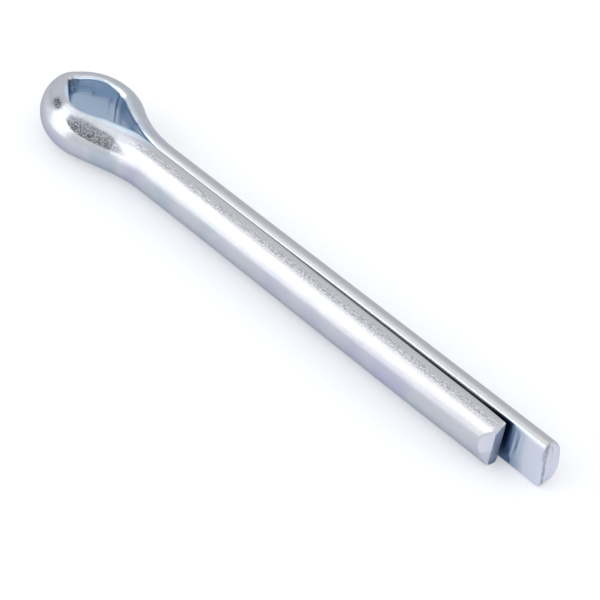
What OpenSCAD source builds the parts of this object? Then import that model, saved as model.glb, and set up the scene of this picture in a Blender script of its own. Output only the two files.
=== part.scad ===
// Split cotter pin: one length of half-round steel wire folded to an eye, one leg longer than the other.
// Millimetres. +X runs along the shank to the leg tips, +Z is up as the pin lies flat.
// +Y is the long leg's side.
// The origin is on the shank's axis at the seat under the eye, where the pin stops in its hole.

/* [Wire] */
// diameter of the circle the two closed legs share
pin_diameter = 4.5; // [3.8:0.1:5.2]
// how far the wire's flat falls short of the middle of that circle
flat_setback = 0.11; // [0:0.01:0.3]
// rounding of the wire's two long edges beside the flat
edge_radius = 0.2; // [0.1:0.05:0.5]

/* [Legs] */
// length of the short leg from the seat under the eye
short_leg_length = 40; // [25:0.5:60]
// how far the long leg stands out past the short one
long_leg_extra = 3.7; // [2:0.1:4]
// clear gap between the two flats where they meet under the eye
gap_at_eye = 0.045; // [0.03:0.005:0.1]
// angle each leg opens away from the shank's axis, in degrees
leg_splay = 0.127; // [0.05:0.01:0.25]

/* [Eye] */
// distance of the eye's rounded end centre behind the seat
eye_centre_back = 6.75; // [5.5:0.25:8]
// sideways offset of the eye's centre towards the long leg
eye_offset = 0.28; // [0:0.02:0.5]
// inside radius of the eye's rounded end
eye_end_radius = 1; // [0.7:0.1:1.4]
// inside radius of the eye's two sides
eye_side_radius = 2.97; // [2.5:0.1:3.4]
// half angle of the rounded end before the flatter sides take over
eye_end_half_angle = 29.3; // [22:1:38]
// angle of the eye's flank on the long leg's side
long_flank_angle = 31; // [26:1:36]
// angle of the eye's flank on the short leg's side
short_flank_angle = 17.9; // [16:0.5:24]
// straight run between that side and the neck on the long leg's side
long_flank_length = 0.2; // [0.1:0.1:2]
// straight run between that side and the neck on the short leg's side
short_flank_length = 3; // [0.5:0.1:4]

/* [Leg ends] */
// lean of the long leg's cut end away from square, in degrees
long_end_lean = 3.8; // [0:0.2:8]
// rounding of the long leg's cut end around its crown
long_end_round = 0.32; // [0.1:0.02:0.5]
// length of the pinched facet on the short leg's crown, measured back from its cut end
end_facet_length = 0.67; // [0.3:0.01:1]
// angle between that facet and the leg
end_facet_angle = 47; // [35:1:65]
// how far that facet is turned down around the leg, in degrees
end_facet_turn = 8; // [0:1:20]

/* [Hidden] */
pin_radius = pin_diameter / 2;
wire_depth = pin_radius - flat_setback;
crown_centre = -flat_setback;
edge_centre_height = sqrt((pin_radius - edge_radius) ^ 2 - (edge_radius - crown_centre) ^ 2);
edge_end_angle = atan2(edge_centre_height, edge_radius - crown_centre);
edge_steps = 6;
edge_overshoot = 0.02;
half_gap = gap_at_eye / 2;
side_shift = eye_side_radius - eye_end_radius;
long_leg_length = short_leg_length + long_leg_extra;
cut_allowance = pin_radius;
wire_steel = "lightsteelblue";
crown_facets = 72;
bend_facets = 120;
end_round_steps = 3;
bend_run_on = 8;
turn_grid = 1000000;
turn_search = 12;
clear = 10 * pin_diameter;

// a turn close to the one given whose sine and cosine are both whole millionths,
// so that runs of wire meet face to face
function whole_turn(turn) =
  let (
    long_side = round(max(abs(cos(turn)), abs(sin(turn))) * turn_grid),
    sides = [
      for (a = [long_side - turn_search : min(long_side + turn_search, turn_grid)])
        let (b = round(sqrt(turn_grid ^ 2 - a ^ 2)))
          [abs(a ^ 2 + b ^ 2 - turn_grid ^ 2), a, b]
    ],
    least = min([for (s = sides) s[0]]),
    best = [for (s = sides) if (s[0] == least) s][0],
    steep = abs(sin(turn)) > abs(cos(turn))
  )
  steep
    ? atan2(best[1], sign(cos(turn)) * best[2])
    : atan2(best[2], sign(cos(turn)) * best[1]);

// section of the wire: flat along x = 0, crown towards +x, both long edges rounded
module wire_section() {
  edge_points = [
    for (i = [0 : edge_steps])
      let (turn = 180 - (180 - edge_end_angle) * i / edge_steps,
           reach = edge_radius + (i == edge_steps ? edge_overshoot : 0))
        [edge_radius + reach * cos(turn), edge_centre_height + reach * sin(turn)]
  ];
  far = 2 * pin_diameter;
  lower = [for (i = [edge_steps : -1 : 0]) [edge_points[i][0], -edge_points[i][1]]];
  intersection() {
    translate([crown_centre, 0])
      circle(r = pin_radius, $fn = crown_facets);
    polygon(concat(
      edge_points,
      [[edge_points[edge_steps][0], far], [far, far], [far, -far], [edge_points[edge_steps][0], -far]],
      lower
    ));
  }
}

// straight run of wire along +Y from the origin, flat at x = 0; what follows it is its child
module straight(length) {
  translate([0, length, 0]) {
    rotate([90, 0, 0])
      linear_extrude(height = length)
        wire_section();
    children();
  }
}

// trims a bend at its far end, which is a plane through the axis it turns about
module trim_bend(sweep) {
  difference() {
    children();
    rotate([0, 0, sweep])
      translate([0, 0, -clear / 2])
        cube(clear);
  }
}

// bend towards the flat, whose radius is given; what follows it is its child
module bend_to_flat(radius, sweep) {
  translate([-radius, 0, 0]) {
    trim_bend(sweep)
      rotate_extrude(angle = sweep + bend_run_on, $fn = bend_facets)
        translate([radius, 0])
          wire_section();
    rotate([0, 0, sweep])
      translate([radius, 0, 0])
        children();
  }
}

// bend towards the crown, with the radius of its flat given; what follows it is its child
module bend_to_crown(radius, sweep) {
  translate([radius, 0, 0])
    mirror([1, 0, 0]) {
      trim_bend(sweep)
        rotate_extrude(angle = sweep + bend_run_on, $fn = bend_facets)
          translate([radius, 0])
            mirror([1, 0])
              wire_section();
      rotate([0, 0, sweep])
        translate([radius, 0, 0])
          mirror([1, 0, 0])
            children();
    }
}

// one half of the pin from the eye's far end to the leg's tip, drawn on the +Y side
module half_pin(offset_y, flank_angle, flank_length, leg_end) {
  end_turn = whole_turn(eye_end_half_angle);
  side_turn = whole_turn(90 + flank_angle - end_turn);
  flank = end_turn + side_turn - 90;
  neck_turn = whole_turn(flank + leg_splay);
  splay = neck_turn - flank;
  flank_start = [
    side_shift * cos(end_turn) - eye_centre_back + eye_side_radius * sin(flank),
    offset_y - side_shift * sin(end_turn) + eye_side_radius * cos(flank)
  ];
  flank_end = flank_start + flank_length * [cos(flank), -sin(flank)];
  neck_reach = [sin(flank) + sin(splay), cos(flank) - cos(splay)];
  neck_radius = (flank_end[1] - flank_end[0] * tan(splay) - half_gap)
    / (neck_reach[0] * tan(splay) - neck_reach[1]);
  leg_start = flank_end + neck_radius * neck_reach;
  translate([-eye_centre_back, offset_y, 0])
    mirror([1, 0, 0])
      translate([eye_end_radius, 0, 0])
        bend_to_flat(eye_end_radius, end_turn)
          bend_to_flat(eye_side_radius, side_turn)
            straight(flank_length)
              bend_to_crown(neck_radius, neck_turn)
                straight((leg_end - leg_start[0]) / cos(splay));
}

// everything beyond the long leg's sheared end, with the rounding round its crown
module long_end_cut() {
  flat_here = half_gap + long_leg_length * tan(leg_splay);
  translate([long_leg_length, flat_here + crown_centre, 0])
    rotate([0, -long_end_lean, 0])
      rotate([0, 90, 0]) {
        translate([-clear / 2, -clear / 2, 0])
          cube(clear);
        rotate_extrude($fn = crown_facets)
          polygon(concat(
            [
              for (i = [0 : end_round_steps])
                let (turn = 90 * i / end_round_steps)
                  [pin_radius - long_end_round * (1 - sin(turn)), -long_end_round * (1 - cos(turn))]
            ],
            [
              [pin_diameter, -long_end_round],
              [pin_diameter, long_end_round],
              [pin_radius - long_end_round, long_end_round]
            ]
          ));
      }
}

// pinched facet across the short leg's crown beside its end
module short_end_cut() {
  crown_here = half_gap + short_leg_length * tan(leg_splay) + wire_depth;
  translate([short_leg_length - end_facet_length, -crown_here, 0])
    rotate([end_facet_turn, 0, 0])
      rotate([0, 0, end_facet_angle])
        translate([-clear / 2, -clear, -clear / 2])
          cube(clear);
}

// the whole folded pin
module split_pin() {
  color(wire_steel) {
    difference() {
      half_pin(eye_offset, long_flank_angle, long_flank_length, long_leg_length + cut_allowance);
      long_end_cut();
    }
    difference() {
      mirror([0, 1, 0])
        half_pin(-eye_offset, short_flank_angle, short_flank_length, short_leg_length);
      short_end_cut();
    }
  }
}

split_pin();
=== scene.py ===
"""A split cotter pin: half-round steel wire folded to an eye, zinc plated, lying on a pale studio floor."""

import logging
import math
from collections.abc import Sequence
from dataclasses import dataclass, field
from enum import Enum
from functools import cached_property

import bpy
import numpy as np
from mathutils import Euler, Matrix, Vector


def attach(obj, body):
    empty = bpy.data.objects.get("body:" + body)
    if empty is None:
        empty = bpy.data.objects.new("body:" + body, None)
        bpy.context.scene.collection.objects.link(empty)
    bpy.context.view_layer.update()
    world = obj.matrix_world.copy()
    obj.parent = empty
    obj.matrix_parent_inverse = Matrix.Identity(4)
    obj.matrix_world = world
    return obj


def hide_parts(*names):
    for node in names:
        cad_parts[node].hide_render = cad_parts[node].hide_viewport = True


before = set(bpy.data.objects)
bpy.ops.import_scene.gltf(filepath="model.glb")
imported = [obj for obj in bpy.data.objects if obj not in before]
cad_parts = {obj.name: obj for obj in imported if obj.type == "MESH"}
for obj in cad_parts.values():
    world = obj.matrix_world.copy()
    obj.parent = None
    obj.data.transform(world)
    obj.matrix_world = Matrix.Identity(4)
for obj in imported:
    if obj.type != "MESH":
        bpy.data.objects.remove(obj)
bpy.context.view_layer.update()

MM = 0.001
FLAT_SETBACK = 0.11  # how far the flat lies from the axis of the wire's crown, on the crown's side, in mm
FAR = 99.0  # beyond every measure of the pin

# What is known of each point of the mesh, in the order of its columns.
MEASURES = ("along", "around", "depth", "angle", "cut", "x", "y", "z")
CUT = MEASURES.index("cut")
XYZ = slice(MEASURES.index("x"), None)

Measures = dict[str, np.ndarray]
Inputs = dict[str | int, object]
Socket = bpy.types.NodeSocket
Tree = bpy.types.NodeTree
log = logging.getLogger("cotter_pin")


class Side(Enum):
    """The two legs of the folded wire, with the sign of the side of the shank each lies on."""

    LONG = 1
    SHORT = -1


def linear(hex_colour: str) -> tuple[float, float, float, float]:
    """Turn an sRGB hex colour into the linear colour that the shaders take.

    Args:
        hex_colour: six hex digits after a hash, as written in a paint chart.

    Returns:
        Linear red, green, blue and an alpha of one.
    """
    channels = [int(hex_colour[i : i + 2], 16) / 255 for i in (1, 3, 5)]
    values = [c / 12.92 if c <= 0.04045 else ((c + 0.055) / 1.055) ** 2.4 for c in channels]
    return (*values, 1.0)


def add_node(tree: Tree, kind: str, inputs: Inputs | None = None, **settings: object) -> bpy.types.Node:
    """Add a node to a tree, set what it is given and link what comes from other nodes.

    Args:
        tree: the node tree that takes the node.
        kind: the node's type name.
        inputs: values or output sockets, by the name or the number of the input they go to.
        settings: properties of the node itself.

    Returns:
        The new node.
    """
    node = tree.nodes.new(kind)
    for name, value in settings.items():
        setattr(node, name, value)
    for key, value in (inputs or {}).items():
        if isinstance(value, Socket):
            tree.links.new(value, node.inputs[key])
        else:
            node.inputs[key].default_value = value
    return node


def fresh_material(name: str) -> tuple[bpy.types.Material, Tree]:
    """Make an empty node material.

    Args:
        name: what the finish is called.

    Returns:
        The material and its cleared node tree.
    """
    material = bpy.data.materials.new(name)
    material.use_nodes = True
    material.node_tree.nodes.clear()
    return material, material.node_tree


def rise(values: np.ndarray | float, start: float, end: float) -> np.ndarray:
    """Rise evenly from nought at the start to one at the end, and stay level beyond them."""
    return np.clip((values - start) / (end - start), 0, 1)


def ease(share: np.ndarray | float) -> np.ndarray:
    """Turn an even rise into one that starts and ends softly."""
    return share * share * (3 - 2 * share)


def bell(values: np.ndarray | float, middle: float, spread: float) -> np.ndarray:
    """Swell to one at the middle and fade softly to nought on both sides of it."""
    return np.exp(-(((values - middle) / spread) ** 2))


@dataclass(frozen=True)
class Profile:
    """A value that changes from place to place and runs evenly between the places given."""

    knots: dict[float, float]

    def at(self, place: np.ndarray | float) -> np.ndarray:
        """Read the value at one or many places."""
        return np.interp(place, list(self.knots), list(self.knots.values()))

    def points(self) -> np.ndarray:
        """List the places and their values as the points of a line."""
        return np.array(list(self.knots.items()))


@dataclass(frozen=True)
class Streaks:
    """Soft uneven patches in a finish, with their real size along and around the wire."""

    along_mm: float
    around_mm: float
    detail: float
    roughness: float = 0.5

    def build(self, tree: Tree, place: Socket) -> Socket:
        """Lay the patches over the wire's own coordinates.

        Args:
            tree: the node tree.
            place: the coordinates, in millimetres.

        Returns:
            The socket of the pattern's height.
        """
        scale = (1 / self.along_mm, 1 / self.around_mm, 1.0)
        scaled = add_node(tree, "ShaderNodeMapping", {"Vector": place, "Scale": scale}).outputs[0]
        noise = {"Vector": scaled, "Scale": 1.0, "Detail": self.detail, "Roughness": self.roughness}
        return add_node(tree, "ShaderNodeTexNoise", noise).outputs["Fac"]


@dataclass(frozen=True)
class ZincPlate:
    """Bright zinc electroplate with a thin blue passivate over drawn low-carbon steel wire.

    The bath leaves a bright, faintly blue metal whose fine crystal grain breaks up the edges of
    reflections, the passivate pools bluer on the inside of the fold, and the bend's outside and the
    legs' ends carry scuffs where the forming tools pressed. Painted light is laid in as well: a side
    tint that is partly a painted reflection, dark painted reflections, specks and a shadow line, and
    painted shade and a painted reflection near the tips.
    """

    name: str = "zinc_plate_blue_passivate"
    # The plate itself: neutral where it faces up, and drifting from cool to lilac lower down: the drift is
    # the passivate's own tint, and keeping it to the sides is partly a painted reflection.
    open_face: str = "#b9babe"
    metal: str = "#c0c3ca"
    lilac: str = "#b5b6ca"
    cool: str = "#afbac5"
    # Passivate that has pooled in the fold, the bright metal of a cut, which also paints a reflection on the
    # long leg's open flat, and a dark blue that paints the shade beside the short leg's end and on its cut
    # face.
    pooled: str = "#c6d7e8"
    cut: str = "#d9dce9"
    sheared: str = "#566c8c"
    # Dull grey where a tool has rubbed the plate away, which also paints dark reflections, a shadow line and
    # dark specks, and the paler tint that a metal has edge on.
    scuffed_and_painted_shade: str = "#3d3d44"
    grazing: str = "#d6d6da"
    # Bright plate gives soft-edged reflections, and scuffs and cuts blur them further.
    roughness: float = 0.26
    scuffed_roughness: float = 0.4
    cut_roughness_gain: float = 0.15
    tint: Streaks = Streaks(5.0, 10.0, 2.0)
    tint_stops: tuple[float, float] = (0.36, 0.64)
    # The crystal grain and the die's lines are really some hundredths of a millimetre wide. They are
    # drawn a few times coarser, because they would be too fine to show.
    grain: Streaks = Streaks(0.2, 0.1, 3.0, 0.6)
    draw_lines: Streaks = Streaks(3.6, 0.18, 2.0)
    # Scuffed plate and the painted dark reflections are broken into small cells, and the line along the leg
    # is made of dark specks of grain painted where the highlight's edge falls.
    worn_cell_mm: float = 0.1
    worn_range: tuple[float, float] = (0.3, 0.7)
    worn_least: float = 0.55
    speck_range: tuple[float, float] = (0.54, 0.46)
    speck_most: float = 0.45
    # Depth of the grain and the lines, how much of it is there on clean plate, and how far scuffs deepen it.
    grain_depth_mm: float = 0.05
    grain_least: float = 0.2
    line_depth_mm: float = 0.035
    line_least: float = 0.3
    scuff_pitting: float = 0.7

    def colour(self, tree: Tree, place: Socket, marks: dict[str, Socket]) -> Socket:
        """Lay the plate's colours and the painted light over each other, from the bare plate up to the
        scuffs and the painted dark marks.

        Args:
            tree: the node tree.
            place: the wire's own coordinates, in millimetres.
            marks: the grain's height and how much of each mark is there, by name.

        Returns:
            The socket of the colour.
        """
        tint = add_node(tree, "ShaderNodeValToRGB", {"Fac": self.tint.build(tree, place)})
        ramp = tint.color_ramp
        for stop, position, colour in zip(ramp.elements, self.tint_stops, (self.cool, self.lilac)):
            stop.position = position
            stop.color = linear(colour)
        ramp.elements.new(sum(self.tint_stops) / 2).color = linear(self.metal)
        cell = {"Vector": place, "Scale": 1 / self.worn_cell_mm}
        cells = add_node(tree, "ShaderNodeTexVoronoi", cell, voronoi_dimensions="2D").outputs["Color"]
        # The layers paint light as well as the plate's colours: a side tint that is partly a painted
        # reflection, the pale cut colour that also paints a reflection on the long leg's open flat, and dark
        # blue painted shade near the tips.
        layers = [
            (marks["side_tint_and_painted_reflection"], tint.outputs["Color"]),
            (marks["cut_face_and_painted_reflection"], linear(self.cut)),
            (marks["pooled"], linear(self.pooled)),
            (marks["sheared"], linear(self.sheared)),
        ]
        patterns = (
            # Scuffs, also painting dark reflections and a shadow line.
            ("scuff_and_painted_shade", cells, self.worn_range, (self.worn_least, 1.0)),
            # Painted specks: dark specks of grain where the highlight's edge falls.
            ("grain_line_and_painted_specks", marks["grain"], self.speck_range, (0.0, self.speck_most)),
        )
        for mark, pattern, (low, high), (least, most) in patterns:
            limits = {"From Min": low, "From Max": high, "To Min": least, "To Max": most}
            patchy = add_node(tree, "ShaderNodeMapRange", {"Value": pattern} | limits).outputs["Result"]
            factors = {0: patchy, 1: marks[mark]}
            share = add_node(tree, "ShaderNodeMath", factors, operation="MULTIPLY", use_clamp=True)
            layers.append((share.outputs[0], linear(self.scuffed_and_painted_shade)))
        shown = linear(self.open_face)
        for share, cover in layers:
            layer = add_node(tree, "ShaderNodeMixRGB", {"Fac": share, "Color1": shown, "Color2": cover})
            shown = layer.outputs["Color"]
        return shown

    def relief(self, tree: Tree, place: Socket, marks: dict[str, Socket]) -> Socket:
        """Roughen the surface with the die's lines and, deeper where it is scuffed, with the grain.

        Args:
            tree: the node tree.
            place: the wire's own coordinates, in millimetres.
            marks: the grain's height and how much of each mark is there, by name.

        Returns:
            The socket of the normal.
        """
        deeper = {0: marks["scuff_and_painted_shade"], 1: self.scuff_pitting, 2: marks["grain_line_and_painted_specks"]}
        pitted = add_node(tree, "ShaderNodeMath", deeper, operation="MULTIPLY_ADD", use_clamp=True)
        patterns = (
            (marks["grain_line_and_painted_specks"], self.line_least, self.line_depth_mm, self.draw_lines.build(tree, place)),
            (pitted.outputs[0], self.grain_least, self.grain_depth_mm, marks["grain"]),
        )
        below = {}
        for mark, least, depth_mm, height in patterns:
            strength = add_node(tree, "ShaderNodeMapRange", {"Value": mark, "To Min": least, "To Max": 1.0})
            bumpy = {"Strength": strength.outputs["Result"], "Distance": depth_mm * MM, "Height": height}
            below = {"Normal": add_node(tree, "ShaderNodeBump", bumpy | below).outputs["Normal"]}
        return below["Normal"]

    def build(self) -> bpy.types.Material:
        """Build the finish from the wire's own coordinates, which run along and around it in millimetres.

        Returns:
            The material.
        """
        material, tree = fresh_material(self.name)
        place = add_node(tree, "ShaderNodeAttribute", attribute_name="wire_place").outputs["Vector"]
        marks = {
            name: add_node(tree, "ShaderNodeAttribute", attribute_name=name).outputs["Fac"]
            for name in ("pooled", "scuff_and_painted_shade", "grain_line_and_painted_specks", "cut_face_and_painted_reflection", "sheared", "side_tint_and_painted_reflection")
        }
        marks["grain"] = self.grain.build(tree, place)
        dulling = {"Value": marks["scuff_and_painted_shade"], "To Min": self.roughness, "To Max": self.scuffed_roughness}
        dulled = add_node(tree, "ShaderNodeMapRange", dulling).outputs["Result"]
        rougher = {0: marks["cut_face_and_painted_reflection"], 1: self.cut_roughness_gain, 2: dulled}
        roughness = add_node(tree, "ShaderNodeMath", rougher, operation="MULTIPLY_ADD")
        plate = add_node(
            tree,
            "ShaderNodeBsdfPrincipled",
            {
                "Base Color": self.colour(tree, place, marks),
                "Metallic": 1.0,
                "Roughness": roughness.outputs[0],
                "Specular Tint": linear(self.grazing),
                "Normal": self.relief(tree, place, marks),
            },
        )
        add_node(tree, "ShaderNodeOutputMaterial", {"Surface": plate.outputs["BSDF"]})
        return material


@dataclass(frozen=True)
class PaperSweep:
    """Matt white seamless paper: it takes a soft shadow and has a barely uneven tone."""

    name: str = "white_paper_sweep"
    paper: str = "#f4f6fb"
    shade: str = "#f2f4fa"
    glow: str = "#ffffff"
    roughness: float = 0.9
    mottle_mm: float = 25.0
    # How far the paper is lifted to white where the camera or a reflection sees it.
    lifted: float = 0.3

    def build(self) -> bpy.types.Material:
        """Build the paper, which shows whiter to the camera and in reflections than it lights the pin.

        Returns:
            The material.
        """
        material, tree = fresh_material(self.name)
        place = add_node(tree, "ShaderNodeTexCoord").outputs["Object"]
        scale = 1 / (self.mottle_mm * MM)
        mottle = add_node(tree, "ShaderNodeTexNoise", {"Vector": place, "Scale": scale})
        tone = add_node(tree, "ShaderNodeValToRGB", {"Fac": mottle.outputs["Fac"]})
        tone.color_ramp.elements[0].color = linear(self.shade)
        tone.color_ramp.elements[1].color = linear(self.paper)
        matt = {"Base Color": tone.outputs["Color"], "Roughness": self.roughness}
        paper = add_node(tree, "ShaderNodeBsdfPrincipled", matt)
        ray = add_node(tree, "ShaderNodeLightPath")
        seen = ray.outputs["Is Camera Ray"]
        for kind in ("Is Glossy Ray", "Is Transmission Ray"):
            either = add_node(tree, "ShaderNodeMath", {0: seen, 1: ray.outputs[kind]}, operation="MAXIMUM")
            seen = either.outputs[0]
        share = add_node(tree, "ShaderNodeMath", {0: seen, 1: self.lifted}, operation="MULTIPLY")
        white = add_node(tree, "ShaderNodeEmission", {"Color": linear(self.glow), "Strength": 1.0})
        shaders = {0: share.outputs[0], 1: paper.outputs["BSDF"], 2: white.outputs[0]}
        mixed = add_node(tree, "ShaderNodeMixShader", shaders)
        add_node(tree, "ShaderNodeOutputMaterial", {"Surface": mixed.outputs[0]})
        return material


@dataclass(frozen=True)
class WireSection:
    """Half-round section of the wire in millimetres: depth runs from the flat to the crown, height runs up.

    Its upper edge is drawn three ways, plain, rolled to a slope or widely rounded, and blended.
    """

    pin_radius: float = 2.25
    plain_half_height: float = 2.02
    plain_depth: float = 0.3
    # The plain edge is a curve whose two ends are pulled this far along the crown and the flat.
    plain_crown_pull: float = 0.13
    plain_flat_pull: float = 0.1
    # Height of the rolled edge at each depth: it drops ever faster towards the flat.
    rolled_edge: Profile = Profile(
        {0: 1.62, 0.02: 1.72, 0.05: 1.79, 0.1: 1.865, 0.15: 1.915, 0.2: 1.953}
        | {0.3: 2.013, 0.4: 2.064, 0.5: 2.104, 0.58: 2.13, 0.62: 2.129}
    )
    wide_radius: float = 0.75
    curve_points: int = 41
    flat_spans: int = 18
    edge_spans: int = 16
    crown_spans: int = 60

    @property
    def crown_depth(self) -> float:
        """Depth of the wire from its flat to the top of its crown."""
        return self.pin_radius - FLAT_SETBACK

    @cached_property
    def around(self) -> np.ndarray:
        """Distance of each point round the plain outline from the foot of the flat."""
        spans = np.diff(self.outline(self.plain_edge()), axis=0)
        return np.concatenate([[0], np.cumsum(np.linalg.norm(spans, axis=1))])

    def plain_edge(self) -> np.ndarray:
        """Draw the upper edge that eases out of the crown and turns down tightly into the flat.

        Returns:
            Points as depth and height, from the flat to the crown.
        """
        turn = math.asin((self.plain_depth + FLAT_SETBACK) / self.pin_radius)
        flat_end = np.array([0.0, self.plain_half_height])
        flat_pull = flat_end + [0.0, self.plain_flat_pull]
        crown_end = np.array([self.plain_depth, self.pin_radius * math.cos(turn)])
        crown_pull = crown_end + self.plain_crown_pull * np.array([-math.cos(turn), math.sin(turn)])
        t = np.linspace(0, 1, self.curve_points)[:, None]
        near_flat = (1 - t) ** 3 * flat_end + 3 * (1 - t) ** 2 * t * flat_pull
        return near_flat + 3 * (1 - t) * t**2 * crown_pull + t**3 * crown_end

    def wide_edge(self) -> np.ndarray:
        """Draw the upper edge as one round that meets both the flat and the crown without a corner.

        Returns:
            Points as depth and height, from the flat to the crown.
        """
        radius = self.wide_radius
        height = math.sqrt((self.pin_radius - radius) ** 2 - (radius + FLAT_SETBACK) ** 2)
        turns = np.linspace(math.pi, math.atan2(height, radius + FLAT_SETBACK), self.curve_points)
        return np.stack([radius + radius * np.cos(turns), height + radius * np.sin(turns)], 1)

    def spaced(self, edge: np.ndarray) -> np.ndarray:
        """Space the points of an edge evenly along it.

        Args:
            edge: the points as depth and height.

        Returns:
            The same line with one point more than the edge has spans.
        """
        lengths = np.concatenate([[0], np.cumsum(np.linalg.norm(np.diff(edge, axis=0), axis=1))])
        steps = np.linspace(0, lengths[-1], self.edge_spans + 1)
        return np.stack([np.interp(steps, lengths, column) for column in edge.T], 1)

    def outline(self, edge: np.ndarray) -> np.ndarray:
        """Walk once round the section, up the flat, over the given upper edge and back down the crown.

        Args:
            edge: the upper edge's points as depth and height, from the flat to the crown.

        Returns:
            The points as depth and height.
        """
        edge = self.spaced(edge)
        heights = np.linspace(-self.plain_half_height, edge[0, 1], self.flat_spans + 1)
        flat = np.stack([np.zeros_like(heights), heights], 1)
        lower = self.spaced(self.plain_edge())[::-1] * [1, -1]
        ends = [math.atan2(height, depth + FLAT_SETBACK) for depth, height in (edge[-1], lower[0])]
        turns = np.linspace(*ends, self.crown_spans + 1)
        crown = np.stack([np.cos(turns), np.sin(turns)], 1) * self.pin_radius - [FLAT_SETBACK, 0]
        return np.concatenate([flat[:-1], edge[:-1], crown[:-1], lower[:-1]])

    def blended(self, rolled: float, wide: float) -> np.ndarray:
        """Blend the section's upper edge between plain, rolled and widely rounded.

        Args:
            rolled: how much of the rolled slope is there, from nought to one.
            wide: how much of the wide rounding is there, from nought to one.

        Returns:
            The points of the outline as depth and height.
        """
        plain = self.outline(self.plain_edge())
        slope = self.outline(self.rolled_edge.points()) - plain
        rounding = self.outline(self.wide_edge()) - plain
        return plain + rolled * (1 - wide) * slope + wide * rounding


@dataclass(frozen=True)
class Mark:
    """A long shallow ridge or groove across the wire's flat, in millimetres from the eye's far end."""

    side: Side
    along: float
    spread: float
    lift: float
    low: float = -1.9
    high: float = 1.9
    lean: float = 0.0
    fade: float = 0.35

    def relief(self, along: float, heights: np.ndarray) -> np.ndarray:
        """Say how far this mark lifts the flat.

        Args:
            along: distance from the eye's far end.
            heights: heights of the points on the flat.

        Returns:
            The lift at each height, out of the flat.
        """
        across = bell(along, self.along + self.lean * heights, self.spread)
        foot = rise(heights, self.low, self.low + self.fade)
        return self.lift * across * foot * rise(heights, self.high, self.high - self.fade)


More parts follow.
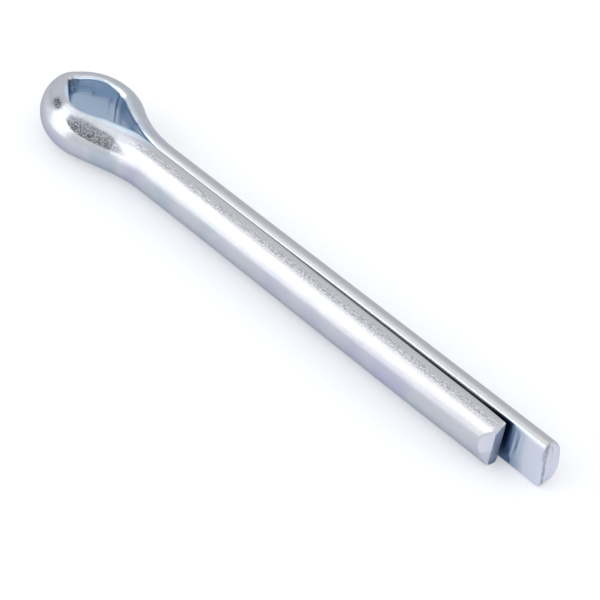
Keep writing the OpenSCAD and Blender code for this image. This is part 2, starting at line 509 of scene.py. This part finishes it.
@dataclass(frozen=True)
class BentHalf:
    """One half of the folded wire, from the eye's far end to the leg's tip, in millimetres on the +Y side.

    Profiles named for the leg run with the distance from the seat, and those named for the edge or the
    eye run with the distance along the wire from the eye's far end.
    """

    side: Side
    leg_length: float
    eye_offset: float
    flank_angle: float
    flank_length: float
    leg_flat_offset: Profile
    leg_thinning: Profile
    eye_rim_inset: Profile
    edge_rounding: Profile = Profile({0.0: 0.5, 2.2: 0.0})
    eye_crown_drawn: Profile = Profile({0.0: 0.0})
    eye_centre_back: float = 6.75
    eye_end_radius: float = 1.0
    eye_side_radius: float = 2.97
    end_turn: float = 29.3
    leg_splay: float = 0.127
    half_gap: float = 0.0225
    # The leg's own spring and thinning set in between these distances from the seat.
    settled_from: float = -1.0
    settled_full: float = 3.0
    bevelled_from: float = FAR
    bevelled_reach: float = 3.0
    tip_twist: float = 0.0
    twist_from: float = 28.0
    # The rings stand this far apart in the bends, on the leg, and near its tip.
    bend_step: float = 0.07
    leg_step: float = 0.3
    tip_step: float = 0.05
    tip_reach: float = 4.6

    def runs(self) -> list[tuple[float, float]]:
        """List the bends and straights of this half in order from the eye's far end.

        Returns:
            The length of each along the flat, and its curvature, which is positive towards the crown.
        """
        end, flank, splay = (math.radians(a) for a in (self.end_turn, self.flank_angle, self.leg_splay))
        shift = self.eye_side_radius - self.eye_end_radius
        start_x = shift * math.cos(end) - self.eye_centre_back + self.eye_side_radius * math.sin(flank)
        start_y = self.eye_offset - shift * math.sin(end) + self.eye_side_radius * math.cos(flank)
        finish = (start_x, start_y) + self.flank_length * np.array([math.cos(flank), -math.sin(flank)])
        reach = np.array([math.sin(flank) + math.sin(splay), math.cos(flank) - math.cos(splay)])
        slope = math.tan(splay)
        neck = (finish[1] - finish[0] * slope - self.half_gap) / (reach[0] * slope - reach[1])
        leg_start = finish + neck * reach
        return [
            (self.eye_end_radius * end, -1 / self.eye_end_radius),
            (self.eye_side_radius * (math.pi / 2 + flank - end), -1 / self.eye_side_radius),
            (self.flank_length, 0.0),
            (neck * (flank + splay), 1 / neck),
            ((self.leg_length - leg_start[0]) / math.cos(splay), 0.0),
        ]

    def twist(self, x: float) -> float:
        """Say how far the leg is twisted at a distance from the seat, in radians."""
        return math.radians(self.tip_twist) * float(rise(x, self.twist_from, self.leg_length))

    def settled(self, x: float) -> float:
        """Say how much of the legs' own shape has set in at a distance from the seat."""
        return float(ease(rise(x, self.settled_from, self.settled_full)))

    def spring(self, x: float) -> float:
        """Say how far the pressed leg has sprung sideways from its straight line, on the +Y side."""
        straight = self.half_gap + x * math.tan(math.radians(self.leg_splay)) - FLAT_SETBACK
        return float(self.leg_flat_offset.at(x) - straight) * self.settled(x)

    def thinned(self, x: float) -> float:
        """Say how far the flat is set in from where the plain section has it."""
        return float(self.leg_thinning.at(x)) * self.settled(x)

    def bevel(self, x: float) -> float:
        """Say how much of the rolled slope the upper edge has at a distance from the seat."""
        return float(ease(rise(x, self.bevelled_from, self.bevelled_from + self.bevelled_reach)))

    def steps(self, length: float, is_leg: bool) -> np.ndarray:
        """Divide one run into the steps between its rings, finest near a leg's tip.

        Args:
            length: the run's length along the flat.
            is_leg: whether the run is the leg itself.

        Returns:
            Distances from the run's start, with both its ends.
        """
        if not is_leg:
            return np.linspace(0, length, max(2, math.ceil(length / self.bend_step)) + 1)
        plain = length - self.tip_reach
        body = np.linspace(0, plain, math.ceil(plain / self.leg_step) + 1)
        tip = np.linspace(plain, length, math.ceil(self.tip_reach / self.tip_step) + 1)
        return np.concatenate([body, tip[1:]])

    def stations(self) -> np.ndarray:
        """Walk the flat of this half and note where each ring of the mesh stands.

        Returns:
            One row a ring: distance along the flat, x, y and heading, in the frame of the +Y side.
        """
        point = np.array([-self.eye_centre_back - self.eye_end_radius, self.eye_offset])
        heading, travelled, rows = math.pi / 2, 0.0, []
        runs = self.runs()
        for run in runs:
            length, curvature = run
            steps = self.steps(length, run is runs[-1])
            for step in steps[1:] if rows else steps:
                turned = heading + curvature * step
                if curvature:
                    move = [math.sin(turned) - math.sin(heading), math.cos(heading) - math.cos(turned)]
                    move = np.array(move) / curvature
                else:
                    move = step * np.array([math.cos(heading), math.sin(heading)])
                rows.append([travelled + step, *(point + move), turned])
            point, heading, travelled = np.array(rows[-1][1:3]), rows[-1][3], travelled + length
        return np.array(rows)


@dataclass(frozen=True)
class CutEnd:
    """The cut end of a leg: how its edge is rounded, how far it leans and how fine its rings are."""

    crown_round: float
    flat_round: float = 0.05
    top_chamfer: float = 0.0
    chamfer_heights: tuple[float, float] = (1.45, 1.85)
    chamfer_depths: tuple[float, float] = (-0.1, 0.4)
    lean: float = 0.0
    lean_reach: float = 2.0
    round_spans: int = 6
    face_scales: tuple[float, ...] = (0.97, 0.9, 0.75, 0.55, 0.3)
    face_middle: float = 0.46
    clearance: float = 0.02

    def setback(self, section: WireSection) -> np.ndarray:
        """Say how wide the rounding of the cut's edge is at each point of the outline.

        Args:
            section: the wire's section.

        Returns:
            The widths in millimetres.
        """
        depths, heights = section.outline(section.plain_edge()).T
        rounding = (self.crown_round - self.flat_round) * ease(rise(depths, 0.0, section.plain_depth))
        at_top = rise(heights, *self.chamfer_heights) * rise(depths, *self.chamfer_depths)
        return self.flat_round + rounding + self.top_chamfer * at_top


@dataclass(frozen=True)
class Scuff:
    """A mark with soft or sharp limits in some of the measures that say where a point of the wire lies."""

    strength: float
    # By measure, the middle and the spread of a soft mark, and the two limits of a sharp one.
    soft: dict[str, tuple[float, float]] = field(default_factory=dict)
    sharp: dict[str, tuple[float, float]] = field(default_factory=dict)

    def share(self, where: Measures) -> np.ndarray:
        """Say how much of this mark each point has.

        Args:
            where: the measures of each point, by name.

        Returns:
            The share at each point, from nought to one.
        """
        share = np.full_like(where["along"], self.strength)
        for measure, (middle, spread) in self.soft.items():
            share *= bell(where[measure], middle, spread)
        for measure, (low, high) in self.sharp.items():
            share *= (where[measure] > low) & (where[measure] < high)
        return np.clip(share, 0, 1)


@dataclass(frozen=True)
class Wear:
    """Where the passivate pooled, where tools and handling marked the wire, and where shade, a shadow line
    and reflections are painted on it.

    Each point has these measures: along the wire in millimetres, positive on the long half and negative on
    the short one, around it and deep into it, its angle in degrees from straight up round the crown, how
    far it belongs to a cut, and its x, y and z.
    """

    # A dark patch on the crown of the eye's short side, partly a rubbed scuff and partly a painted dark
    # reflection: where its middle lies and how far it spreads.
    patch_middle: Profile = Profile(
        {3.8: 36, 4.2: 40, 4.9: 43.5, 5.9: 45.5, 6.8: 46, 7.6: 48, 8.2: 52, 9.1: 55, 9.6: 56}
    )
    patch_spread: Profile = Profile(
        {3.8: 9, 4.2: 14, 4.9: 17, 5.9: 18, 6.8: 18, 7.6: 16, 8.2: 11, 9.1: 6, 9.6: 3}
    )
    patch_start: tuple[float, float] = (3.6, 3.9)
    patch_end: tuple[float, float] = (10.6, 7.6)
    patch_edge: float = 2.0
    patch_fading: float = 0.35
    # Smaller marks: a strip above the patch, a spot beside it that is a painted dark reflection, a fleck on
    #     # the hole's wall, a painted shadow line under the burr round the long leg's cut, and a notch at
    #     the top of that cut.
    scuffs_and_painted_shade: tuple[Scuff, ...] = (
        Scuff(0.75, {"along": (-4.9, 0.9), "angle": (26, 3.5)}),
        Scuff(1.6, {"along": (-2.45, 0.42), "angle": (33, 9)}),
        Scuff(0.7, {"along": (1.84, 0.14), "around": (2.75, 0.3)}, {"depth": (-FAR, 0.2)}),
        Scuff(0.55, {}, {"cut": (0.1, 0.9), "depth": (-FAR, 0.25), "along": (0, FAR)}),
        Scuff(0.8, {"x": (43.42, 0.12), "depth": (0.3, 0.3)}, {"angle": (-FAR, 25), "along": (0, FAR)}),
    )
    # A speckled line along the short leg's crown, which starts at the neck: its grain is a real bump, and
    # its dark specks are painted where the highlight's edge falls.
    line: Scuff = Scuff(1.0, {"angle": (26, 7)}, {"cut": (-1, 0.05)})
    line_start: tuple[float, float] = (8.5, 10.5)
    # The passivate pools on the eye's inside and on the flat that the short leg leaves open.
    pool_depth: Profile = Profile({3.5: 0.3, 5.5: 0.6, 8.5: 0.6, 11.0: 0.3})
    pool_fullness: float = 1.3
    pool_in_eye: tuple[float, float] = (12.5, 9.5)
    pool_at_tip: Profile = Profile({39.2: 0.0, 40.0: 1.0, 40.8: 1.0, 42.0: 0.1})
    # The open flat of the long leg is painted bright past the short leg's end, a painted reflection, and
    # painted dark blue up to it, a painted shade where the short leg shades it.
    open_flat: Scuff = Scuff(1.0, {}, {"depth": (-FAR, 0.2), "along": (0, FAR)})
    painted_reflection_flat: Profile = Profile({40.6: 0.0, 42.0: 0.8})
    tip_shade_border: Profile = Profile(
        {-1.61: 40.92, -1.21: 40.68, -0.49: 40.5, 0.19: 40.46, 1.05: 40.42, 1.49: 40.36}
    )
    tip_shade_share: Profile = Profile({-0.12: 1.0, 0.0: 0.55, 0.5: 0.35, 1.3: 0.0})
    tip_shade_start: tuple[float, float] = (37.0, 39.0)
    short_face: Scuff = Scuff(1.0, {}, {"cut": (0.95, FAR), "along": (-FAR, 0), "y": (-1.32, FAR)})
    short_face_shade: Profile = Profile({-2.0: 0.85, -0.8: 0.45, 1.8: 0.3})
    # The plate's drifting tint shows on the sides and in the eye, and the top stays neutral: partly the
    # passivate's own tint, partly a painted reflection on the sides.
    tint_round_crown: Profile = Profile({50.0: 0.1, 90.0: 1.0})
    tint_in_eye: float = 0.6

    def patch(self, where: Measures) -> np.ndarray:
        """Say how much of the dark patch, part scuff and part painted dark reflection, each point has, with
        less of it towards its upper side.

        Args:
            where: the measures of each point, by name.

        Returns:
            The share at each point.
        """
        back, angle = -where["along"], where["angle"]
        middle, spread = self.patch_middle.at(back), self.patch_spread.at(back)
        ends = rise(back, *self.patch_start) * rise(back, *self.patch_end)
        sides = rise(np.abs(angle - middle), spread + self.patch_edge, spread - self.patch_edge)
        above = rise(angle, middle + spread, middle - spread)
        return ends * sides * (1 - self.patch_fading * above)

    def tip_shade(self, where: Measures) -> np.ndarray:
        """Say how much painted dark blue shade each point has, on the long leg's flat up to the short leg's
        end and on the short leg's cut face, darker towards its bottom.

        Args:
            where: the measures of each point, by name.

        Returns:
            The share at each point.
        """
        # Painted shade on the long leg's flat, darkest at the short leg's end.
        past_border = where["x"] - self.tip_shade_border.at(where["z"])
        flat = self.tip_shade_share.at(past_border) * rise(where["x"], *self.tip_shade_start)
        # Painted shade: the short leg's cut face is darker towards its bottom.
        face = self.short_face_shade.at(where["z"]) * self.short_face.share(where)
        return np.maximum(flat * self.open_flat.share(where), face)

    def shares(self, where: Measures) -> Measures:
        """Work out how much of each mark every point has.

        Args:
            where: the measures of each point, by name.

        Returns:
            The shares, by the name that the finish reads them under.
        """
        in_eye = rise(np.abs(where["along"]), *self.pool_in_eye)
        pool = np.clip(self.pool_fullness - where["depth"] / self.pool_depth.at(where["along"]), 0, 1)
        # Painted reflection: the long leg's open flat is painted lighter towards its tip.
        bright = self.painted_reflection_flat.at(where["x"]) * self.open_flat.share(where)
        return {
            "pooled": pool * np.maximum(in_eye, self.pool_at_tip.at(where["x"])),
            # Partly painted: the patch is part scuff and part painted dark reflection, the spot is a painted
            # dark reflection, the burr mark is a painted shadow line.
            "scuff_and_painted_shade": np.maximum.reduce([self.patch(where), *(scuff_and_painted_shade.share(where) for scuff_and_painted_shade in self.scuffs_and_painted_shade)]),
            # Real grain bump with painted dark specks along the highlight's edge.
            "grain_line_and_painted_specks": rise(-where["along"], *self.line_start) * self.line.share(where),
            "cut_face_and_painted_reflection": np.maximum(where["cut"], bright),
            "sheared": self.tip_shade(where),
            # Partly painted reflection: the sides and the eye take the tint, the top stays neutral.
            "side_tint_and_painted_reflection": np.maximum(self.tint_round_crown.at(where["angle"]), self.tint_in_eye * in_eye),
        }

    def write(self, mesh: bpy.types.Mesh, where: Measures) -> None:
        """Write what the finish reads: the place on the wire, and how much of each mark is there.

        Args:
            mesh: the pin's mesh.
            where: the measures of each vertex, by name.
        """
        place = np.stack([where["along"], where["around"], where["depth"]], 1).astype(np.float32)
        mesh.attributes.new("wire_place", "FLOAT_VECTOR", "POINT").data.foreach_set("vector", place.ravel())
        for name, values in self.shares(where).items():
            mesh.attributes.new(name, "FLOAT", "POINT").data.foreach_set("value", values.astype(np.float32))


@dataclass(frozen=True)
class CotterPin:
    """The whole folded pin as one closed mesh, swept ring by ring along its wire."""

    section: WireSection = WireSection()
    # The half that ends in the long leg, whose upper edge is rolled to a slope.
    long_half: BentHalf = BentHalf(
        side=Side.LONG,
        leg_length=43.7,
        eye_offset=0.28,
        flank_angle=31.0,
        flank_length=0.2,
        leg_flat_offset=Profile(
            {0: -0.05, 11: -0.045, 15: -0.04, 19: -0.03, 25: -0.02, 29: -0.01, 33: 0, 37: 0.02}
        ),
        leg_thinning=Profile({0: -0.035, 13: -0.01, 16: 0.03, 20: 0.07, 25: 0.1, 33: 0.12}),
        eye_rim_inset=Profile(
            {0: 0.38, 0.22: 0.37, 0.44: 0.25, 0.65: 0.15, 1.2: 0.12, 3.5: 0.12}
            | {4: 0.17, 4.6: 0.2, 6: 0.28, 8: 0.3, 9.5: 0.15, 11.5: 0}
        ),
        edge_rounding=Profile(
            {0: 0.5, 0.7: 0.35, 1.2: 0.2, 2: 0.1, 2.8: 0.12, 3.6: 0.35, 4.8: 0.7}
            | {7.8: 0.6, 9.2: 0.3, 10.6: 0}
        ),
        bevelled_from=0.0,
    )
    # The half that ends in the short leg, which is twisted a little towards its tip.
    short_half: BentHalf = BentHalf(
        side=Side.SHORT,
        leg_length=40.0,
        eye_offset=-0.28,
        flank_angle=17.9,
        flank_length=3.0,
        leg_flat_offset=Profile(
            {0: -0.078, 9: -0.078, 13: -0.06, 17: -0.053, 21: -0.02, 27: -0.002}
            | {33: 0, 35: -0.02, 38.5: -0.05}
        ),
        leg_thinning=Profile(
            {0: -0.04, 13: -0.04, 16: -0.03, 20: -0.01, 25: 0, 33: 0.03, 38: 0.08, 40: 0.17}
        ),
        eye_rim_inset=Profile(
            {0: 0.38, 0.2: 0.22, 0.4: 0.09, 0.75: -0.02, 1.1: -0.09, 1.5: -0.11, 1.9: -0.08, 2.3: 0}
            | {2.9: 0.14, 3.6: 0.09, 4.6: 0.05, 5.6: -0.05, 6.2: -0.2, 7.4: -0.23, 8.5: -0.26}
            | {9.1: -0.28, 9.8: -0.2, 11.5: 0}
        ),
        eye_crown_drawn=Profile({1.0: 0.0, 3.5: 0.3, 8.0: 0.3, 11.5: 0.0}),
        tip_twist=1.6,
    )
    long_end: CutEnd = CutEnd(crown_round=0.32, flat_round=0.17, lean=3.8)
    short_end: CutEnd = CutEnd(crown_round=0.06, top_chamfer=0.28)
    # The rim of the hole is set in over this range of heights, and marks reach this deep from the flat.
    rim_heights: tuple[float, float] = (0.3, 1.8)
    mark_depth: float = 0.3
    # The long leg's cut: its worn lower corner, its foot set forward and its lower crown swollen.
    corner_radius: float = 0.9
    corner_low: float = 2.2
    foot_forward: float = 0.15
    foot_height: float = 2.0
    swell: float = 0.28
    swell_angle: float = 130.0
    swell_spread: float = 32.0
    swell_side: float = 1.2
    skew_reach: float = 0.8
    # The short leg's pinched facet: a plane across the crown that runs out at a slope along the leg.
    facet_chord: float = -1.345
    facet_turn: float = 0.04
    facet_slope: Profile = Profile(
        {-0.6: 3.5, -0.3: 2.4, 0: 1.44, 0.36: 1.04, 0.87: 0.8, 1.29: 0.68, 1.8: 0.5}
    )
    facet_reach: float = 2.0
    facet_softness: float = 0.02
    facet_fade: float = 12.0
    facet_brightness: float = 0.6
    facet_edge: float = 0.05
    marks: tuple[Mark, ...] = (
        Mark(Side.LONG, 3.55, 0.16, 0.05, high=0.9),
        Mark(Side.LONG, 3.95, 0.2, -0.07, high=1.1),
        Mark(Side.LONG, 4.4, 0.18, 0.05),
        Mark(Side.LONG, 2.2, 0.3, -0.03, low=0.4, high=1.5),
        Mark(Side.LONG, 49.75, 0.1, 0.015, low=-1.7, high=1.6, lean=-0.03),
        Mark(Side.LONG, 50.0, 0.08, -0.02, low=-1.5, high=0.6, lean=0.02),
        Mark(Side.LONG, 50.25, 0.1, 0.02, low=-0.6, high=1.6, lean=-0.02),
        Mark(Side.LONG, 50.5, 0.08, -0.015, low=-1.6, high=0.2, lean=0.04),
    )
    wear: Wear = Wear()
    finish: ZincPlate = ZincPlate()

    def outline_at(self, half: BentHalf, station: np.ndarray) -> np.ndarray:
        """Give the section's outline, with its upper edge as it is at one place along a half."""
        return self.section.blended(half.bevel(station[1]), float(half.edge_rounding.at(station[0])))

    def shaped(
        self, half: BentHalf, station: np.ndarray, outline: np.ndarray
    ) -> tuple[np.ndarray, np.ndarray]:
        """Shape the section as bending and handling left it at one place along the wire.

        Args:
            half: the half of the wire.
            station: its row of distance, x, y and heading.
            outline: the outline's points as depth and height.

        Returns:
            The depths and heights there.
        """
        depths, heights = outline.T
        along, x = station[0], station[1]
        on_crown = rise(depths, 0.0, self.section.crown_depth)
        heights = heights * (1 - float(half.eye_crown_drawn.at(along)) * on_crown * (heights > 0))
        lifted = np.zeros_like(depths)
        for mark in self.marks:
            if mark.side is half.side:
                lifted += mark.relief(along, heights) * rise(depths, self.mark_depth, 0.0)
        at_rim = ease(rise(heights, *self.rim_heights))
        inset = half.thinned(x) + float(half.eye_rim_inset.at(along)) * at_rim
        return depths + inset * (1 - depths / self.section.crown_depth) - lifted, heights

    def ring(
        self,
        half: BentHalf,
        end: CutEnd,
        to_tip: float,
        station: np.ndarray,
        outline: np.ndarray,
        pull: np.ndarray,
        cut: float,
    ) -> np.ndarray:
        """Make one ring of the mesh: shape its outline, twist and place it, and lean it towards the cut.

        Args:
            half: the half of the wire.
            end: its cut end.
            to_tip: the distance left to the cut.
            station: the ring's row of distance, x, y and heading.
            outline: the outline's points as depth and height.
            pull: how far each point is drawn back from the cut.
            cut: how far the ring belongs to the cut, from nought to one.

        Returns:
            A row for each point, with its measures in their order.
        """
        depths, heights = self.shaped(half, station, outline)
        travelled, x, y, heading = station
        twist = half.twist(x)
        from_axis = depths + FLAT_SETBACK
        out = from_axis * math.cos(twist) + heights * math.sin(twist) - FLAT_SETBACK
        up = heights * math.cos(twist) - from_axis * math.sin(twist)
        lean = math.tan(math.radians(end.lean)) * ease(rise(to_tip, end.lean_reach, 0.0))
        shift = -pull - lean * heights
        ahead = x - out * math.sin(heading) + shift * math.cos(heading)
        sideways = y + half.spring(x) + out * math.cos(heading) + shift * math.sin(heading)
        along = (travelled + shift) * half.side.value
        angle = np.degrees(np.arctan2(from_axis, heights))
        share = np.full_like(angle, cut)
        place = (ahead, sideways * half.side.value, up)
        return np.column_stack([along, self.section.around, depths, angle, share, *place])

    def half_rings(self, half: BentHalf, end: CutEnd) -> np.ndarray:
        """Make the rings of one half, from the eye's far end to the last ring of its cut face.

        Args:
            half: the half of the wire.
            end: its cut end.

        Returns:
            The rings, each with a row for each of its points.
        """
        stations = half.stations()
        tip = stations[-1]
        setback = end.setback(self.section)
        level = np.zeros_like(setback)
        last_plain = tip[0] - float(setback.max()) - end.clearance
        drawn = [(s, self.outline_at(half, s), level, 0.0) for s in stations if s[0] < last_plain]
        outline = self.outline_at(half, tip)
        run = np.roll(outline, -1, 0) - np.roll(outline, 1, 0)
        inward = np.stack([run[:, 1], -run[:, 0]], 1) / np.linalg.norm(run, axis=1)[:, None]
        for step in range(end.round_spans + 1):
            turn = math.pi / 2 * step / end.round_spans
            rounded = outline + inward * (setback * (1 - math.cos(turn)))[:, None]
            drawn.append((tip, rounded, setback * (1 - math.sin(turn)), step / end.round_spans))
        middle = np.array([end.face_middle * self.section.crown_depth, 0.0])
        rim = outline + inward * setback[:, None]
        drawn += [(tip, middle + (rim - middle) * scale, level, 1.0) for scale in end.face_scales]
        return np.array([self.ring(half, end, tip[0] - row[0][0], *row) for row in drawn])

    def wear_long_cut(self, points: np.ndarray) -> np.ndarray:
        """Set the foot of the long leg's cut forward, swell its lower crown and round its lower corner.

        Args:
            points: points of the long half in millimetres.

        Returns:
            The points, with those near the cut moved.
        """
        x, y, z = np.moveaxis(points, -1, 0)
        near = rise(x, self.long_half.leg_length - self.skew_reach, self.long_half.leg_length)
        swollen = bell(np.degrees(np.arctan2(y, z)), self.swell_angle, self.swell_spread)
        sideways = y + self.swell * near * swollen * rise(y, 0.0, self.swell_side)
        forward = x + self.foot_forward * near * rise(-z, 0.0, self.foot_height)

        lean = math.tan(math.radians(self.long_end.lean))
        low_end = self.long_half.leg_length + self.corner_low * lean + self.foot_forward
        ahead = forward - (low_end - self.corner_radius)
        below = -z - (self.corner_low - self.corner_radius)
        distance = np.hypot(np.clip(ahead, 0, None), np.clip(below, 0, None))
        pull = 1 - self.corner_radius / np.maximum(distance, self.corner_radius)
        pull = np.where((ahead > 0) & (below > 0), pull, 0.0)
        return np.stack([forward - ahead * pull, sideways, z + below * pull], -1)

    def pinch_facet(self, points: np.ndarray) -> np.ndarray:
        """Press the short leg's crown flat beside its cut end, where the shear pinched it.

        Args:
            points: points of the short half in millimetres.

        Returns:
            The points, with those beyond the facet's plane moved onto it.
        """
        x, y, z = np.moveaxis(points, -1, 0)
        back = self.short_half.leg_length - x
        limit = self.facet_chord - self.facet_turn * z - back * self.facet_slope.at(z)
        beyond = (limit - y) / self.facet_softness
        push = self.facet_softness * np.logaddexp(0, np.clip(beyond, -self.facet_fade, None))
        push = np.where((back < self.facet_reach) & (beyond >= -self.facet_fade), push, 0.0)
        return np.stack([x, y + push, z], -1)

    def faces(self, rings: int, around: int) -> list[tuple[int, ...]]:
        """Join the rings with quads and close both cut faces with a fan.

        Args:
            rings: how many rings there are.
            around: how many points each has, with the two middles of the cut faces after all of them.

        Returns:
            The corners of each face, seen from outside.
        """
        first, last = rings * around, rings * around + 1
        end = (rings - 1) * around
        faces = []
        for i in range(0, end, around):
            for j in range(around):
                k = (j + 1) % around
                faces.append((i + j, i + k, i + around + k, i + around + j))
        for j in range(around):
            k = (j + 1) % around
            faces.append((first, k, j))
            faces.append((last, end + j, end + k))
        return faces

    def build(self) -> bpy.types.Object:
        """Join the two halves at the eye's far end, close their cut ends and make the object.

        Returns:
            The pin.
        """
        long = self.half_rings(self.long_half, self.long_end)
        short = self.half_rings(self.short_half, self.short_end)
        long[..., XYZ] = self.wear_long_cut(long[..., XYZ])
        pinched = self.pinch_facet(short[..., XYZ])
        moved = np.linalg.norm(pinched - short[..., XYZ], axis=2)
        bright = self.facet_brightness * rise(moved, 0.0, self.facet_edge)
        short[..., CUT] = np.maximum(short[..., CUT], bright)
        short[..., XYZ] = pinched
        rings = np.concatenate([long[::-1], short[1:]])
        count, around, columns = rings.shape
        vertices = np.concatenate([rings.reshape(-1, columns), rings[[0, -1]].mean(1)])
        mesh = bpy.data.meshes.new("split_pin_wire")
        mesh.from_pydata((vertices[:, XYZ] * MM).tolist(), [], self.faces(count, around))
        mesh.update()
        mesh.shade_smooth()
        self.wear.write(mesh, dict(zip(MEASURES, vertices.T)))
        pin = bpy.data.objects.new("split_pin_wire", mesh)
        bpy.context.collection.objects.link(pin)
        mesh.materials.append(self.finish.build())
        return pin


@dataclass(frozen=True)
class StudioCamera:
    """The camera: a long lens looking down on the pin from in front of its tips."""

    name: str = "studio_camera"
    azimuth: float = 36.144
    elevation: float = 44.11
    roll: float = 11.198
    aim_mm: tuple[float, float, float] = (20.4105, -1.5046, 0.0301)
    distance_mm: float = 178.147
    lens_mm: float = 139.134
    sensor_mm: float = 36.0
    clip_mm: tuple[float, float] = (5.0, 20000.0)

    def build(self) -> None:
        """Make the camera and hand it to the scene."""
        camera = bpy.data.cameras.new(self.name)
        camera.sensor_fit = "HORIZONTAL"
        camera.sensor_width = self.sensor_mm
        camera.lens = self.lens_mm
        camera.clip_start, camera.clip_end = (limit * MM for limit in self.clip_mm)
        turn = (
            Euler((0, 0, math.radians(self.azimuth))).to_matrix()
            @ Euler((math.radians(90 - self.elevation), 0, 0)).to_matrix()
            @ Euler((0, 0, math.radians(self.roll))).to_matrix()
        )
        place = Vector(self.aim_mm) * MM + turn @ Vector((0, 0, self.distance_mm * MM))
        holder = bpy.data.objects.new(self.name, camera)
        holder.matrix_world = Matrix.LocRotScale(place, turn, None)
        bpy.context.collection.objects.link(holder)
        bpy.context.scene.camera = holder


@dataclass(frozen=True)
class Softbox:
    """One soft white lamp, with its place and size in metres."""

    name: str
    centre: tuple[float, float, float]
    size: tuple[float, float]
    radiance: float

    def build(self, aim: Vector) -> None:
        """Make the lamp and turn it to its aim.

        Args:
            aim: the point it looks at.
        """
        lamp = bpy.data.lights.new(self.name, "AREA")
        lamp.shape = "RECTANGLE"
        lamp.size, lamp.size_y = self.size
        lamp.energy = self.radiance * math.pi * self.size[0] * self.size[1]
        holder = bpy.data.objects.new(self.name, lamp)
        holder.location = self.centre
        holder.rotation_euler = (aim - Vector(self.centre)).to_track_quat("-Z", "Y").to_euler()
        holder.visible_camera = False
        bpy.context.collection.objects.link(holder)


@dataclass(frozen=True)
class Studio:
    """Floor, world and lamps round the pin, in metres."""

    floor_size: float = 6.0
    floor_middle: tuple[float, float] = (0.02, 0.0)
    lamp_aim: tuple[float, float, float] = (0.018, 0.0, 0.0)
    world_colour: str = "#ffffff"
    world_strength: float = 0.96
    paper: PaperSweep = PaperSweep()
    boxes: tuple[Softbox, ...] = (
        Softbox("front_softbox", (-0.285, -0.36, 0.318), (0.45, 0.376), 1.6),
        Softbox("low_strip", (-0.32, -0.49, 0.06), (0.4, 0.12), 1.4),
        Softbox("left_strip", (-0.75, -0.38, 0.06), (0.5, 0.12), 0.5),
        Softbox("upper_fill", (-0.03, -0.06, 0.597), (0.96, 0.21), 0.09),
        Softbox("upper_edge", (-0.03, -0.21, 0.562), (0.96, 0.12), 0.68),
        Softbox("right_card", (0.3, -0.38, 0.17), (0.24, 0.22), 1.0),
        Softbox("end_card", (0.46, 0.38, 0.28), (0.36, 0.3), 0.9),
    )

    def build(self, low: float) -> None:
        """Lay the floor under the pin and light the scene.

        Args:
            low: height of the pin's lowest point in metres.
        """
        half = self.floor_size / 2
        corners = [(-half, -half, 0), (half, -half, 0), (half, half, 0), (-half, half, 0)]
        mesh = bpy.data.meshes.new("studio_floor")
        mesh.from_pydata(corners, [], [(0, 1, 2, 3)])
        mesh.materials.append(self.paper.build())
        floor = bpy.data.objects.new("studio_floor", mesh)
        floor.location = (*self.floor_middle, low)
        bpy.context.collection.objects.link(floor)
        world = bpy.data.worlds.new("studio_world")
        world.use_nodes = True
        tree = world.node_tree
        tree.nodes.clear()
        sky = {"Color": linear(self.world_colour), "Strength": self.world_strength}
        light = add_node(tree, "ShaderNodeBackground", sky)
        add_node(tree, "ShaderNodeOutputWorld", {"Surface": light.outputs["Background"]})
        bpy.context.scene.world = world
        for box in self.boxes:
            box.build(Vector(self.lamp_aim))


def main() -> None:
    """Build the pin, the camera and the studio."""
    logging.basicConfig(level=logging.INFO, format="%(name)s: %(message)s")
    bpy.context.scene.view_settings.view_transform = "Standard"
    pin = CotterPin().build()
    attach(pin, "root")
    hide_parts("split_pin")
    log.info("%s: %d faces", pin.name, len(pin.data.polygons))
    StudioCamera().build()
    low = min(v.co.z for v in pin.data.vertices)
    Studio().build(low)
    log.info("floor at %.4f mm", low / MM)


if __name__ == "__main__":
    main()
